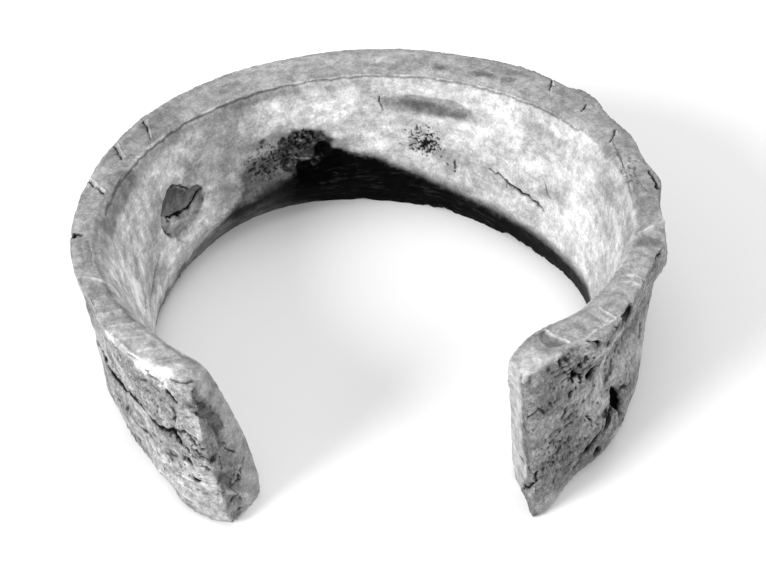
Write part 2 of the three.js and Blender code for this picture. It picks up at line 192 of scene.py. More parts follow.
# Places on the band are an angle about the bore (0 right, 90 back, 180 left) and a height in mm,
# on the rim an angle and a radius in mm, and on the ends a radius and a height in mm.
braceletSet = {
    "meshSize": 0.6,  # mm, of the even mesh that the wear is modelled on
    "mostTriangles": 192000,
    "toe": (-16.3, -31.4),  # x and y in mm of the rounded lower corner of the left end
    "toeRise": 0.7,
    # number and size of the split layers, the strength of each other kind of wear, and of the painted shade
    # in the crevices
    "wear": {
        "layers": 5.0, "layerSize": 2.8, "lumps": 0.5, "crumbs": 0.16, "creviceShade": 0.9,
        "boreWaves": 0.22, "boreGrain": 0.07, "rimFall": 0.12, "rimWaves": 0.22, "rimGrain": 0.12,
        "chips": 2.6,
    },
    "tones": {"bore": 0.49, "rim": 0.3, "face": 0.265, "leftEnd": 0.3, "rightEnd": 0.37, "foot": 0.25},
    # part, line, half width, depth, darkness of the painted shade in the crack
    "cracks": [
        ("face", [(191.0, 7.6), (193.8, 8.1), (196.6, 9.0), (201.1, 10.0)], 0.5, 0.25, 1.0),
        ("face", [(201.1, 10.0), (205.4, 9.9), (210.2, 9.4), (213.0, 11.0), (216.5, 12.6)],
                  0.4, 0.2, 1.0),
        ("face", [(216.0, 12.4), (219.7, 13.3), (221.4, 13.2), (223.8, 13.0)], 0.8, 0.25, 1.0),
        ("face", [(223.8, 12.8), (224.4, 12.3), (225.6, 12.2), (229.3, 12.9)], 0.4, 0.25, 1.0),
        ("face", [(229.3, 12.9), (231.3, 13.2), (232.4, 12.9)], 0.55, 0.3, 1.0),
        ("face", [(232.4, 12.9), (233.5, 12.5), (235.2, 11.7)], 0.28, 0.3, 1.0),
        ("face", [(233.7, 14.5), (235.1, 14.4), (235.9, 14.1), (237.1, 13.4)], 0.28, 0.3, 1.0),
        ("face", [(231.1, 19.2), (232.3, 18.8), (233.4, 18.3)], 0.25, 0.3, 1.0),
        ("face", [(232.2, 17.0), (233.0, 16.2), (232.4, 15.4)], 0.2, 0.3, 0.9),
        ("face", [(214.0, 6.7), (216.1, 6.4), (219.7, 7.4)], 0.26, 0.2, 0.9),
        ("face", [(215.7, 20.2), (216.4, 19.2), (217.4, 18.0)], 0.4, 0.4, 0.45),
        ("face", [(221.4, 18.0), (223.5, 18.0), (225.9, 18.8), (228.0, 18.6)], 0.16, 0.25, 0.8),
        ("leftEnd", [(34.9, 20.4), (33.4, 17.0), (32.3, 13.4), (32.6, 11.6)], 1.0, 0.45, 0.42),
        ("leftEnd", [(32.4, 10.6), (31.6, 9.4), (31.0, 8.6)], 0.14, 0.2, 0.8),
        ("leftEnd", [(29.8, 6.9), (30.7, 6.3), (31.3, 4.8), (32.3, 4.2)], 0.2, 0.3, 0.9),
        ("leftEnd", [(34.3, 7.9), (32.9, 5.7), (32.3, 3.9)], 0.7, 0.4, 0.35),
        ("rim", [(-33.2, 34.7), (-35.0, 34.8), (-36.6, 34.9)], 0.5, 0.8, 1.0),
        ("face", [(-32.2, 20.2), (-33.6, 19.7), (-35.0, 18.9), (-35.8, 18.4)], 0.7, 0.4, 1.0),
        ("face", [(-18.3, 10.5), (-20.1, 9.4)], 0.34, 0.3, 0.9),
        ("face", [(-46.0, 21.4), (-45.2, 20.8), (-44.6, 20.3)], 0.32, 0.6, 1.0),
        ("face", [(-46.9, 19.3), (-48.1, 18.4), (-49.3, 17.4)], 0.24, 0.4, 1.0),
        ("face", [(-50.2, 17.3), (-51.4, 17.2), (-52.3, 17.0)], 0.18, 0.3, 0.7),
        ("face", [(-45.2, 15.6), (-43.6, 15.9)], 0.5, 0.6, 1.0),
        ("face", [(-44.0, 16.0), (-41.2, 15.2), (-38.6, 14.6)], 0.26, 0.5, 0.95),
        ("face", [(-52.2, 13.6), (-53.2, 12.6)], 0.24, 0.3, 0.7),
        ("face", [(-45.5, 9.3), (-44.4, 8.4)], 0.2, 0.4, 1.0),
        ("face", [(-33.9, 8.2), (-34.3, 7.0), (-34.7, 6.1), (-35.1, 5.2)], 0.75, 0.7, 1.0),
        ("face", [(-36.6, 7.0), (-37.6, 6.7), (-38.4, 6.4), (-39.9, 6.1), (-40.8, 5.5)], 0.5, 0.6, 1.0),
        ("face", [(-32.2, 7.6), (-30.0, 7.0), (-28.3, 7.0)], 0.26, 0.4, 0.8),
        ("face", [(-42.4, 5.7), (-43.7, 5.2), (-45.7, 4.3), (-47.2, 3.6), (-48.6, 2.9)], 0.55, 0.5, 1.0),
        ("face", [(-60.6, 15.2), (-58.4, 15.6), (-57.4, 14.7)], 0.2, 0.35, 0.7),
        ("rightEnd", [(31.1, 5.6), (32.5, 6.1)], 0.3, 0.3, 1.0),
        ("rightEnd", [(33.4, 7.0), (34.6, 7.2), (35.7, 6.9)], 0.42, 0.35, 1.0),
        ("face", [(-60.4, 7.6), (-60.9, 7.2), (-60.5, 6.3)], 0.35, 0.3, 1.0),
        ("rightEnd", [(35.5, 6.0), (34.2, 4.2), (33.2, 2.6), (32.0, 1.4), (31.5, 0.5)], 0.26, 0.3, 1.0),
        ("bore", [(53.2, 10.0), (51.0, 9.6), (50.0, 9.9), (47.2, 9.5)], 0.17, 0.3, 1.0),
        ("bore", [(47.2, 9.5), (45.0, 8.9), (43.4, 9.0), (41.0, 8.6)], 0.26, 0.4, 1.0),
        ("bore", [(41.0, 8.6), (38.9, 8.9), (37.2, 8.5), (35.2, 8.7), (32.6, 8.2)], 0.22, 0.3, 1.0),
        ("bore", [(36.0, 8.7), (34.8, 8.2)], 0.16, 0.3, 0.9),
        ("bore", [(47.1, 9.4), (46.6, 8.4)], 0.12, 0.2, 0.7),
        ("bore", [(34.4, 12.1), (33.3, 11.3), (32.6, 10.8)], 0.15, 0.3, 0.8),
        ("bore", [(32.6, 10.8), (31.2, 10.4), (29.5, 10.1)], 0.12, 0.2, 0.4),
        ("bore", [(139.2, 11.2), (141.3, 9.9), (143.5, 9.4), (147.1, 9.7), (149.8, 10.1),
                  (153.4, 11.0)], 0.22, 0.3, 1.0),
        ("bore", [(148.2, 14.5), (145.6, 13.4), (143.3, 12.2)], 0.26, 0.3, 0.8),
        ("bore", [(156.7, 11.0), (155.8, 9.8), (153.0, 8.4)], 0.16, 0.2, 0.8),
        ("bore", [(161.0, 8.2), (164.1, 7.6), (169.6, 6.2), (179.0, 6.2)], 0.26, 0.15, 0.45),
        ("bore", [(177.6, 8.0), (185.0, 8.8), (193.4, 9.9)], 0.26, 0.15, 0.45),
        ("bore", [(85.6, 17.8), (85.2, 16.6), (84.6, 15.7)], 0.16, 0.2, 0.8),
        ("bore", [(28, 20.8), (60, 20.75), (100, 20.7), (140, 20.7), (176, 20.5)], 0.2, 0.12, 0.5),
        ("rim", [(143.9, 35.0), (145.4, 33.8), (146.8, 32.8)], 0.15, 0.25, 1.0),
        ("rim", [(146.8, 32.8), (148.9, 31.4)], 0.1, 0.15, 0.6),
        ("rim", [(153.8, 35.3), (155.4, 34.2), (157.7, 32.6)], 0.14, 0.25, 0.9),
        ("rim", [(166.3, 35.2), (168.4, 33.6), (170.4, 32.2)], 0.16, 0.25, 1.0),
        ("rim", [(183.0, 35.4), (184.6, 33.8)], 0.22, 0.4, 1.0),
        ("rim", [(232.5, 34.9), (234.2, 34.7), (235.4, 34.3), (235.7, 33.5)], 0.24, 0.25, 0.7),
        ("rim", [(186.3, 32.9), (190.0, 32.7), (194.6, 32.8)], 0.12, 0.08, 0.35),
        ("rim", [(187.0, 33.8), (191.0, 33.7), (194.0, 33.7)], 0.1, 0.06, 0.25),
        ("rim", [(46.4, 36.4), (44.8, 34.8), (43.6, 33.6)], 0.14, 0.2, 0.8),
        ("rim", [(34.6, 34.8), (33.9, 34.0), (33.0, 33.3)], 0.17, 0.25, 1.0),
        ("rim", [(23.6, 34.6), (22.0, 33.6), (20.4, 32.6)], 0.15, 0.25, 0.9),
        ("rim", [(16.1, 32.4), (13.0, 32.4), (11.2, 32.0)], 0.1, 0.15, 0.5),
        ("rim", [(20.0, 32.9), (13.2, 32.4), (6.4, 31.9), (-0.1, 31.5), (-5.1, 31.0)], 0.14, 0.1, 0.4),
        ("rim", [(10.5, 33.5), (8.6, 32.9), (7.4, 33.1)], 0.1, 0.15, 0.5),
        ("rim", [(5.0, 33.2), (3.4, 33.3), (1.8, 33.8)], 0.1, 0.12, 0.4),
        ("rim", [(8.8, 35.1), (5.7, 35.0), (2.8, 35.2)], 0.34, 0.7, 1.0),
        ("rim", [(-16.4, 35.1), (-18.4, 34.8), (-20.4, 34.9)], 0.18, 0.4, 0.9),
    ],
    # part, angle, height, half length, half height, turn, depth, darkness of the painted shade in the pit
    "pits": [
        ("face", 220.7, 14.0, 0.75, 0.32, 10, 0.6, 1.0),
        ("face", 223.0, 13.3, 0.5, 0.3, 30, 0.6, 1.0),
        ("face", 231.6, 13.6, 0.75, 0.34, 25, 0.7, 1.0),
        ("face", 234.2, 9.7, 0.7, 0.6, 0, 0.5, 1.0),
        ("face", 235.1, 6.8, 0.85, 0.42, 15, 0.5, 1.0),
        ("face", 235.0, 5.0, 0.42, 0.28, 20, 0.4, 0.9),
        ("face", 226.3, 5.0, 0.42, 0.22, 0, 0.3, 0.8),
        ("face", 225.4, 2.6, 0.42, 0.32, 0, 0.3, 0.7),
        ("face", 232.1, 2.3, 0.8, 0.26, -20, 0.4, 0.8),
        ("face", 238.4, 13.0, 0.34, 0.3, 0, 0.4, 0.9),
        ("face", 229.3, 11.7, 0.25, 0.18, 0, 0.25, 0.7),
        ("face", 231.3, 11.7, 0.25, 0.18, 0, 0.25, 0.7),
        ("face", 224.9, 9.9, 0.3, 0.2, 0, 0.25, 0.6),
        ("leftEnd", 32.6, 0.9, 0.36, 0.26, 0, 0.3, 0.9),
        ("face", -52.5, 19.8, 0.22, 0.5, -10, 0.5, 0.95),
        ("face", -49.4, 17.5, 0.45, 0.42, 0, 0.5, 1.0),
        ("face", -50.7, 15.1, 0.36, 0.6, -20, 0.5, 1.0),
        ("face", -42.3, 2.4, 0.9, 0.8, 0, 0.6, 1.0),
        ("face", -57.5, 11.0, 0.28, 0.24, 0, 0.3, 0.8),
        ("face", -39.8, 20.8, 0.22, 0.4, 0, 0.3, 0.9),
        ("bore", 105.6, 11.6, 0.8, 0.3, 0, 0.2, 0.9),
        ("bore", 118.4, 13.8, 0.4, 0.36, 0, 0.25, 0.6),
        ("rim", 36.0, 35.3, 0.14, 0.24, 36, 0.3, 0.9),
    ],
    # raised lines that catch the light, paler along them partly from wear and partly as a painted
    # highlight: part, line, half width, rise, paleness
    "lips": [
        ("rim", [(143.2, 34.6), (145.9, 32.9), (148.1, 31.6)], 0.18, 0.1, 0.7),
        ("rim", [(152.9, 35.0), (154.6, 33.9), (156.8, 32.5)], 0.18, 0.1, 0.6),
        ("rim", [(165.4, 35.0), (167.5, 33.4), (169.6, 32.1)], 0.2, 0.1, 0.8),
        ("rim", [(197.0, 34.6), (198.5, 33.2), (200.4, 31.9)], 0.3, 0.12, 0.5),
        ("rim", [(208.6, 34.9), (209.8, 33.6), (210.4, 31.9)], 0.4, 0.1, 0.4),
        ("rim", [(213.0, 34.4), (214.4, 33.2), (215.4, 32.0)], 0.3, 0.05, 0.35),
        ("rim", [(217.6, 34.4), (219.2, 33.2), (220.4, 32.0)], 0.28, 0.05, 0.4),
        ("rim", [(222.4, 34.2), (224.0, 33.0), (225.2, 31.8)], 0.3, 0.05, 0.4),
        ("rim", [(227.4, 33.8), (228.8, 32.8), (229.8, 31.8)], 0.26, 0.05, 0.4),
        ("rim", [(45.7, 36.2), (44.1, 34.6), (42.8, 33.4)], 0.16, 0.08, 0.5),
        ("rim", [(22.9, 34.6), (21.2, 33.4), (19.9, 32.6)], 0.16, 0.08, 0.4),
        ("rim", [(-12.2, 32.2), (-9.6, 33.8), (-7.4, 35.1)], 0.22, 0.16, 0.55),
        ("rim", [(-26.4, 31.8), (-25.4, 33.2), (-25.8, 34.9)], 0.22, 0.1, 0.4),
        ("rim", [(-28.2, 32.3), (-27.4, 33.4), (-27.6, 34.6)], 0.18, 0.1, 0.3),
        ("rim", [(-37.6, 31.9), (-37.8, 33.2), (-38.2, 34.3)], 0.24, 0.14, 0.6),
        ("rim", [(-38.2, 34.3), (-36.2, 34.5), (-34.2, 34.8)], 0.2, 0.12, 0.5),
        ("rim", [(-38.6, 34.3), (-42.0, 33.7), (-46.8, 33.6)], 0.17, 0.12, 0.8),
        ("rim", [(-49.8, 29.4), (-49.4, 31.2), (-49.0, 32.7)], 0.24, 0.14, 0.8),
        ("rim", [(213.5, 35.0), (221.7, 35.0), (226.7, 34.9)], 0.24, 0.08, 0.9),
        ("face", [(233.0, 0.8), (236.0, 1.0), (239.0, 1.2)], 5.0, 0.72, 0.0),
        ("face", [(224.2, 4.0), (231.3, 6.1), (237.2, 6.9)], 0.34, 0.2, 0.6),
        ("face", [(226.0, 3.4), (231.4, 4.4), (234.5, 3.9)], 0.3, 0.18, 0.5),
        ("face", [(222.0, 2.0), (228.0, 2.8), (233.0, 3.0)], 0.3, 0.15, 0.4),
        ("bore", [(110.6, 10.1), (108.4, 9.7), (106.6, 9.4), (105.2, 9.2)], 0.3, 0.15, 0.7),
        ("bore", [(105.2, 9.2), (104.0, 9.0), (102.4, 9.3)], 0.45, 0.12, 0.4),
        ("bore", [(105.8, 8.5), (104.6, 8.2), (103.4, 8.6)], 0.5, 0.12, 0.35),
        ("bore", [(155.9, 11.0), (150.8, 9.5), (146.5, 8.8), (142.2, 8.9)], 0.34, 0.06, 0.4),
        ("leftEnd", [(35.4, 10.4), (33.4, 8.3), (31.0, 6.6)], 0.45, 0.3, 0.45),
        ("leftEnd", [(35.2, 6.6), (33.8, 5.0), (31.2, 2.2)], 0.45, 0.3, 0.5),
        ("face", [(-43.3, 7.4), (-46.0, 6.9), (-47.8, 7.6)], 0.2, 0.15, 0.6),
        ("rightEnd", [(35.7, 5.2), (34.6, 3.3), (33.6, 1.8)], 0.4, 0.12, 0.5),
    ],
    # flakes lost and dark places with an outline: part, outline, depth, tone left, softness of the edge
    "scars": [
        ("bore", [(148.8, 14.6), (145.5, 13.0), (143.7, 12.0), (140.5, 12.4), (138.9, 11.4),
                  (139.6, 9.6), (141.5, 8.4), (144.0, 7.5), (147.0, 7.2), (150.4, 6.9), (154.3, 8.5),
                  (156.8, 10.2), (156.5, 11.6), (155.9, 12.4), (153.0, 13.7), (150.5, 14.6)],
                  0.12, 0.56, 0.15),
        ("bore", [(148.8, 14.6), (145.5, 13.0), (143.7, 12.0), (140.5, 12.4), (138.9, 11.4),
                  (139.6, 10.9), (141.3, 9.9), (143.5, 9.4), (147.1, 9.7), (149.8, 10.1), (153.5, 11.2),
                  (155.9, 12.4), (153.0, 13.7), (150.5, 14.6)], 0.1, 0.45, 0.12),
        # the black core at the back of the bore: a crumbled hollow, partly dark rotten surface and partly
        # painted shade
        ("bore", [(96.0, 7.5), (97.0, 9.9), (99.0, 10.4), (100.2, 10.9), (102.0, 11.5), (103.6, 11.0),
                  (103.8, 9.8), (105.2, 9.0), (107.0, 8.8), (108.8, 9.4), (109.5, 8.0), (109.0, 6.4),
                  (107.5, 5.0), (100.0, 4.5)], 0.3, 0.02, 0.35),
        ("bore", [(98.0, 11.6), (101.0, 13.4), (104.7, 14.0), (109.0, 14.2), (112.8, 13.5),
                  (115.0, 11.0), (113.0, 8.0), (110.0, 6.0), (104.0, 8.0)], 0.12, 0.06, 0.5),
        ("bore", [(85.3, 17.7), (85.4, 16.4), (82.7, 15.8), (80.0, 15.5), (75.9, 15.2), (71.8, 15.3),
                  (67.6, 15.5), (63.3, 15.9), (60.2, 16.8), (62.2, 17.8), (66.4, 18.1), (71.9, 18.1),
                  (77.3, 18.1), (81.3, 18.2)], 0.06, 0.56, 0.3),
        ("bore", [(114.0, 12.0), (118.9, 12.4), (122.8, 11.6), (125.4, 10.3), (126.5, 8.3),
                  (129.5, 6.4), (133.5, 4.6), (128.0, 3.0), (118.0, 4.0), (112.0, 6.0)], 0.08, 0.2, 1.3),
        ("rim", [(-50.2, 29.4), (-49.6, 32.6), (-52.6, 31.6), (-52.6, 30.0)], 0.12, 0.6, 0.15),
    ],
    # stains and pale places: part, angle, height, half length, half height, turn, tone, softness
    "stains": [
        ("bore", 73.6, 16.5, 2.6, 0.8, 4, 0.42, 0.5),
        ("bore", 65.5, 16.3, 2.2, 0.7, 4, 0.55, 0.5),
        ("bore", 80.5, 17.2, 2.0, 0.8, 4, 0.8, 0.5),
        ("bore", 50.0, 14.0, 3.0, 1.8, 0, 0.76, 0.6),
        ("bore", 129.0, 9.2, 2.6, 1.8, 0, 0.64, 0.6),
        ("bore", 117.0, 13.5, 2.6, 1.0, 15, 0.46, 0.6),
        ("bore", 96.5, 10.8, 2.6, 0.9, -12, 0.5, 0.7),
        ("bore", 186.0, 12.5, 3.4, 3.4, 0, 1.6, 0.6),
        ("bore", 5.0, 19.4, 9.0, 2.2, 0, 0.70, 0.5),
        ("bore", 97.4, 19.45, 1.1, 0.4, 8, 0.55, 0.3),
        ("bore", 29.0, 11.5, 2.6, 0.8, -8, 0.66, 0.35),
        ("bore", 38.0, 10.0, 2.4, 0.8, -6, 0.8, 0.5),
        ("bore", 73.5, 11.2, 2.6, 2.4, 0, 0.72, 0.7),
        ("bore", 66.0, 8.6, 2.4, 1.8, -30, 0.78, 0.7),
        ("bore", 52.0, 8.4, 4.2, 1.8, -6, 0.80, 0.6),
        ("bore", 20.0, 10.6, 2.6, 2.2, 40, 1.32, 0.5),
        ("bore", 106.0, 17.0, 6.5, 1.8, 6, 1.22, 0.5),
        ("bore", 90.0, 13.6, 5.0, 1.4, 0, 1.18, 0.5),
        ("bore", 60.0, 19.0, 9.0, 1.0, 0, 1.15, 0.5),
        ("bore", 131.0, 15.0, 5.5, 3.0, 0, 0.80, 0.6),
        ("bore", 124.0, 18.6, 4.0, 1.0, 8, 0.8, 0.5),
        ("bore", 170.0, 19.8, 9.0, 1.6, 0, 0.60, 0.4),
        ("bore", 142.0, 20.2, 9.0, 0.9, 0, 0.64, 0.4),
        ("bore", 118.0, 20.3, 6.0, 0.8, 0, 0.55, 0.4),
        ("bore", 160.0, 15.5, 2.4, 1.4, 20, 1.15, 0.6),
        ("bore", 143.0, 5.8, 5.0, 1.2, -10, 1.25, 0.6),
        ("bore", 160.0, 5.4, 5.0, 1.4, -10, 1.2, 0.6),
        ("bore", 178.0, 10.5, 5.0, 1.6, 0, 1.15, 0.7),
        ("rim", 202.4, 32.8, 1.3, 1.0, 20, 0.72, 0.5),
        ("rim", -14.6, 33.8, 1.5, 1.0, 0, 0.62, 0.4),
        ("rim", -19.4, 33.0, 2.0, 1.2, 60, 1.05, 0.6),
        ("rim", -3.0, 33.2, 2.2, 1.5, 80, 0.78, 0.6),
        ("rim", 18.0, 34.6, 2.0, 1.0, -60, 0.85, 0.6),
        ("rim", 60.0, 31.9, 1.5, 0.5, -35, 0.46, 0.4),
        ("rim", 70.4, 31.3, 1.0, 0.45, -20, 0.46, 0.4),
        ("rim", 54.0, 32.4, 0.9, 0.5, -30, 0.55, 0.4),
        ("rim", 104.6, 32.6, 3.0, 1.2, 14, 1.3, 0.6),
        ("rim", 55.3, 33.6, 3.0, 0.9, -35, 0.74, 0.5),
        ("rim", 6.0, 33.6, 3.0, 1.2, 95, 0.92, 0.6),
        ("rim", 85.5, 32.6, 2.0, 1.0, -5, 1.45, 0.5),
        ("rim", 147.0, 32.8, 7.0, 1.7, 57, 0.74, 0.5),
        ("rim", 128.0, 32.4, 3.0, 1.2, 38, 0.8, 0.5),
        ("rim", 29.0, 33.6, 2.4, 1.0, -60, 0.82, 0.5),
        ("rim", -43.0, 34.6, 1.8, 0.7, 40, 0.95, 0.4),
        ("rim", -43.4, 32.2, 1.6, 0.8, 50, 0.80, 0.5),
        ("rim", -57.0, 31.6, 1.6, 1.2, 0, 1.5, 0.5),
        ("rim", 230.6, 33.8, 1.6, 0.9, 40, 1.6, 0.5),
        ("rim", 222.0, 33.2, 1.6, 0.6, 60, 1.3, 0.5),
        ("rim", 216.0, 33.0, 1.6, 0.5, 55, 1.25, 0.5),
        # the next three: the pale chip at the top outer edge of the left arm, lightened further as a
        # painted highlight
        ("face", 227.0, 20.4, 2.8, 0.75, 3, 2.2, 0.6),
        ("rim", 228.6, 34.8, 2.6, 0.6, -45, 1.9, 0.6),
        ("face", 230.6, 19.4, 1.3, 0.6, 0, 1.7, 0.6),
        ("face", 214.0, 18.6, 3.2, 1.5, -20, 1.15, 0.6),
        ("face", 222.0, 10.0, 14.0, 14.0, 0, 1.22, 0.4),
        ("face", 236.5, 10.6, 1.8, 1.4, 0, 1.25, 0.8),
        ("face", 227.5, 7.6, 2.6, 1.2, 0, 1.2, 0.8),
        ("face", -55.0, 17.5, 3.4, 3.0, 0, 0.75, 0.7),
        ("face", -55.0, 7.5, 4.2, 4.4, 0, 0.78, 0.7),
        ("face", -43.5, 19.6, 2.4, 1.6, 0, 1.5, 0.6),
        ("face", -36.0, 12.0, 3.6, 4.0, 0, 1.25, 0.8),
        ("face", -44.0, 11.0, 3.0, 2.6, 0, 1.15, 0.8),
        # the next two: painted shade in a crack and in a hole low on the right arm
        ("face", -39.4, 6.1, 0.95, 0.4, 32, 0.12, 0.4),
        ("face", -42.2, 2.2, 0.8, 0.7, 0, 0.2, 0.4),
    ],
    # eaten places full of small holes: part, angle, height, half length, half height,
    # hole size, share, depth, darkness of the painted shade in the holes
    "eaten": [
        ("bore", 73.2, 11.0, 2.0, 2.0, 0.32, 0.82, 0.18, 1.0),
        ("bore", 73.8, 11.4, 3.4, 2.8, 0.26, 0.5, 0.1, 0.9),
        ("bore", 65.6, 8.4, 2.2, 1.6, 0.45, 0.3, 0.15, 0.9),
        ("bore", 71.6, 13.8, 0.9, 0.4, 0.4, 0.5, 0.15, 0.9),
        ("bore", 116.0, 10.4, 5.4, 3.6, 0.27, 0.62, 0.12, 0.85),
        ("bore", 106.5, 12.4, 3.0, 1.7, 0.3, 0.7, 0.15, 0.95),
        ("rim", 9.0, 32.6, 1.4, 4.0, 0.35, 0.5, 0.12, 0.6),
        ("face", 226.0, 12.0, 9.0, 9.0, 0.4, 0.22, 0.15, 0.8),
        ("face", 236.0, 10.5, 2.6, 5.0, 0.45, 0.3, 0.2, 0.8),
        ("face", -44.0, 12.5, 11.0, 9.0, 0.45, 0.24, 0.2, 0.9),
        ("face", -48.6, 17.2, 3.8, 2.4, 0.5, 0.5, 0.2, 0.95),
        ("face", -55.0, 8.0, 3.4, 5.0, 0.45, 0.3, 0.2, 0.8),
        ("leftEnd", 33.6, 9.6, 1.3, 3.6, 0.45, 0.3, 0.2, 0.8),
    ],
    # the painted shadow that the left wall casts on the lower part of the bore: angle, and height of its
    # upper edge
    "paintedShadow": [(-40, 3.0), (-5, 4.0), (9, 4.4), (19, 3.9), (27, 4.1), (41, 4.5), (58, 4.8), (64, 5.2),
              (72, 5.9), (78, 6.9), (83, 7.9), (87.3, 8.9), (91.7, 9.3), (95.5, 9.9), (98.7, 10.4),
              (102, 10.2), (105, 8.8), (107.5, 8.2), (109, 7.6), (111, 7.2), (114, 6.9), (118, 6.4),
              (124, 5.8), (129, 5.2), (137, 4.2), (145, 3.2), (153, 2.6), (164, 2.0), (175, 1.6),
              (240, 1.0)],
    # how dark the painted shadow is at each angle
    "paintedShadowDepth": [(-40, 0.9), (20, 0.98), (50, 0.996), (110, 0.998), (116, 0.95), (124, 0.84),
                   (140, 0.68), (180, 0.5), (240, 0.25)],
    # the line between the smooth strip and the crust on each end: height, radius
    "leftLine": [(0, 32.4), (2, 32.2), (7, 31.3), (13.4, 32.0), (18, 33.9), (21, 35.0)],
    "rightLine": [(0, 31.0), (3, 32.2), (5, 33.4), (7.4, 33.6), (8.4, 32.2), (11, 32.0), (14, 32.5),
                  (18, 32.5), (21, 33)],
}


def copyNode():
    pick(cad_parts["bracelet"])
    bpy.ops.object.duplicate()
    obj = bpy.context.object
    obj.name = "bracelet_worn"
    obj.parent = None
    for key in list(obj.keys()):
        del obj[key]
    pick(obj)
    bpy.ops.object.mode_set(mode="EDIT")
    bpy.ops.mesh.select_all(action="SELECT")
    bpy.ops.mesh.remove_doubles(threshold=0.00001)
    bpy.ops.object.mode_set(mode="OBJECT")
    obj.data.remesh_voxel_size = braceletSet["meshSize"] * mm
    obj.data.remesh_voxel_adaptivity = 0
    bpy.ops.object.voxel_remesh()
    return obj


def readPlaces(obj):
    mesh = obj.data
    count = len(mesh.vertices)
    co = np.zeros(count * 3)
    mesh.vertices.foreach_get("co", co)
    co = co.reshape(-1, 3) / mm
    normal = np.zeros(count * 3)
    mesh.vertices.foreach_get("normal", normal)
    normal = normal.reshape(-1, 3)
    x, y, z = co[:, 0] - axisX, co[:, 1] - axisY, co[:, 2]
    angle = np.degrees(np.arctan2(y, x))
    angle = np.where(angle < -75, angle + 360, angle)
    radius = np.hypot(x, y)
    turn = np.radians(angle)
    along = -normal[:, 0] * np.sin(turn) + normal[:, 1] * np.cos(turn)
    middle = 30.7 + 2.5 * np.clip(z / bandHeight, 0, 1) ** 1.3
    rim = smooth(0.56, 0.74, normal[:, 2]) * smooth(18.5, 19.5, z)
    leftEnd = smooth(0.45, 0.75, along) * (angle > 226)
    rightEnd = smooth(0.45, 0.75, -along) * (angle < -48)
    foot = smooth(0.5, 0.8, -normal[:, 2]) * smooth(2.5, 1.0, z)
    side = smooth(-0.25, 0.25, radius - middle)
    clear = (1 - rim) * (1 - leftEnd) * (1 - rightEnd) * (1 - foot)
    at = {
        "co": co, "normal": normal, "angle": angle, "radius": radius, "z": z,
        "rim": rim, "leftEnd": leftEnd, "rightEnd": rightEnd, "foot": foot,
        "face": side * clear, "bore": (1 - side) * clear,
        "band": np.stack([turn * bandRadius, z, radius], 1),
        "arms": np.maximum(smooth(192, 206, angle), smooth(4, -10, angle)),
    }
    at["charts"] = {
        "face": np.stack([turn * faceRadius, z], 1),
        "bore": np.stack([turn * boreRadius, z], 1),
        "rim": np.stack([x, y], 1),
        "leftEnd": np.stack([radius, z], 1),
        "rightEnd": np.stack([radius, z], 1),
    }
    # a mark on the outer face or the rim may run over the edge between them
    edge = smooth(33.6, 34.4, radius) * smooth(20.0, 20.6, z)
    at["reach"] = {
        "face": np.maximum(at["face"], rim * edge),
        "bore": np.maximum(at["bore"], foot * (1 - side)),
        "rim": np.maximum(rim, at["face"] * edge),
        "leftEnd": leftEnd,
        "rightEnd": rightEnd,
    }
    return at


def onChart(name, spot):
    if name == "face":
        return math.radians(spot[0]) * faceRadius, spot[1]
    if name == "bore":
        return math.radians(spot[0]) * boreRadius, spot[1]
    if name == "rim":
        turn = math.radians(spot[0])
        return spot[1] * math.cos(turn), spot[1] * math.sin(turn)
    return spot


def fromLine(places, line):
    best = np.full(len(places), 1e9)
    for a, b in zip(line[:-1], line[1:]):
        a, b = np.array(a), np.array(b)
        span = b - a
        t = np.clip(((places - a) @ span) / (span @ span), 0, 1)
        best = np.minimum(best, np.linalg.norm(places - a - t[:, None] * span, axis=1))
    return best


def inOutline(places, outline):
    inside = np.zeros(len(places), bool)
    x, y = places[:, 0], places[:, 1]
    for (ax, ay), (bx, by) in zip(outline, outline[1:] + outline[:1]):
        if ay != by:
            inside ^= ((ay > y) != (by > y)) & (x < (bx - ax) * (y - ay) / (by - ay) + ax)
    return np.where(inside, -1, 1) * fromLine(places, outline + outline[:1])


def fromSpot(places, centre, halfLength, halfHeight, turn):
    d = places - np.array(centre)
    c, s = math.cos(math.radians(turn)), math.sin(math.radians(turn))
    u = (d[:, 0] * c + d[:, 1] * s) / halfLength
    v = (-d[:, 0] * s + d[:, 1] * c) / halfHeight
    return np.hypot(u, v)


def refine(obj, wanted):
    mesh = obj.data
    pick(obj)
    bpy.ops.object.mode_set(mode="EDIT")
    bpy.ops.mesh.select_mode(type="FACE")
    bpy.ops.mesh.select_all(action="DESELECT")
    bpy.ops.object.mode_set(mode="OBJECT")
    corner = np.zeros(len(mesh.loops), np.int32)
    mesh.loops.foreach_get("vertex_index", corner)
    start = np.zeros(len(mesh.polygons), np.int32)
    mesh.polygons.foreach_get("loop_start", start)
    chosen = np.maximum.reduceat(wanted[corner].astype(np.float32), start) > 0.5
    mesh.polygons.foreach_set("select", chosen)
    bpy.ops.object.mode_set(mode="EDIT")
    bpy.ops.mesh.subdivide(number_cuts=1, smoothness=0.0)
    bpy.ops.object.mode_set(mode="OBJECT")


def inView(at):
    bore = (at["bore"] > 0.3) & (at["angle"] > -12) & (at["angle"] < 204)
    arms = (at["face"] > 0.3) & ((at["angle"] > 192) | (at["angle"] < -2))
    ends = (at["leftEnd"] > 0.3) | (at["rightEnd"] > 0.3)
    return (bore | arms | ends | (at["rim"] > 0.3)) & (at["foot"] < 0.5)


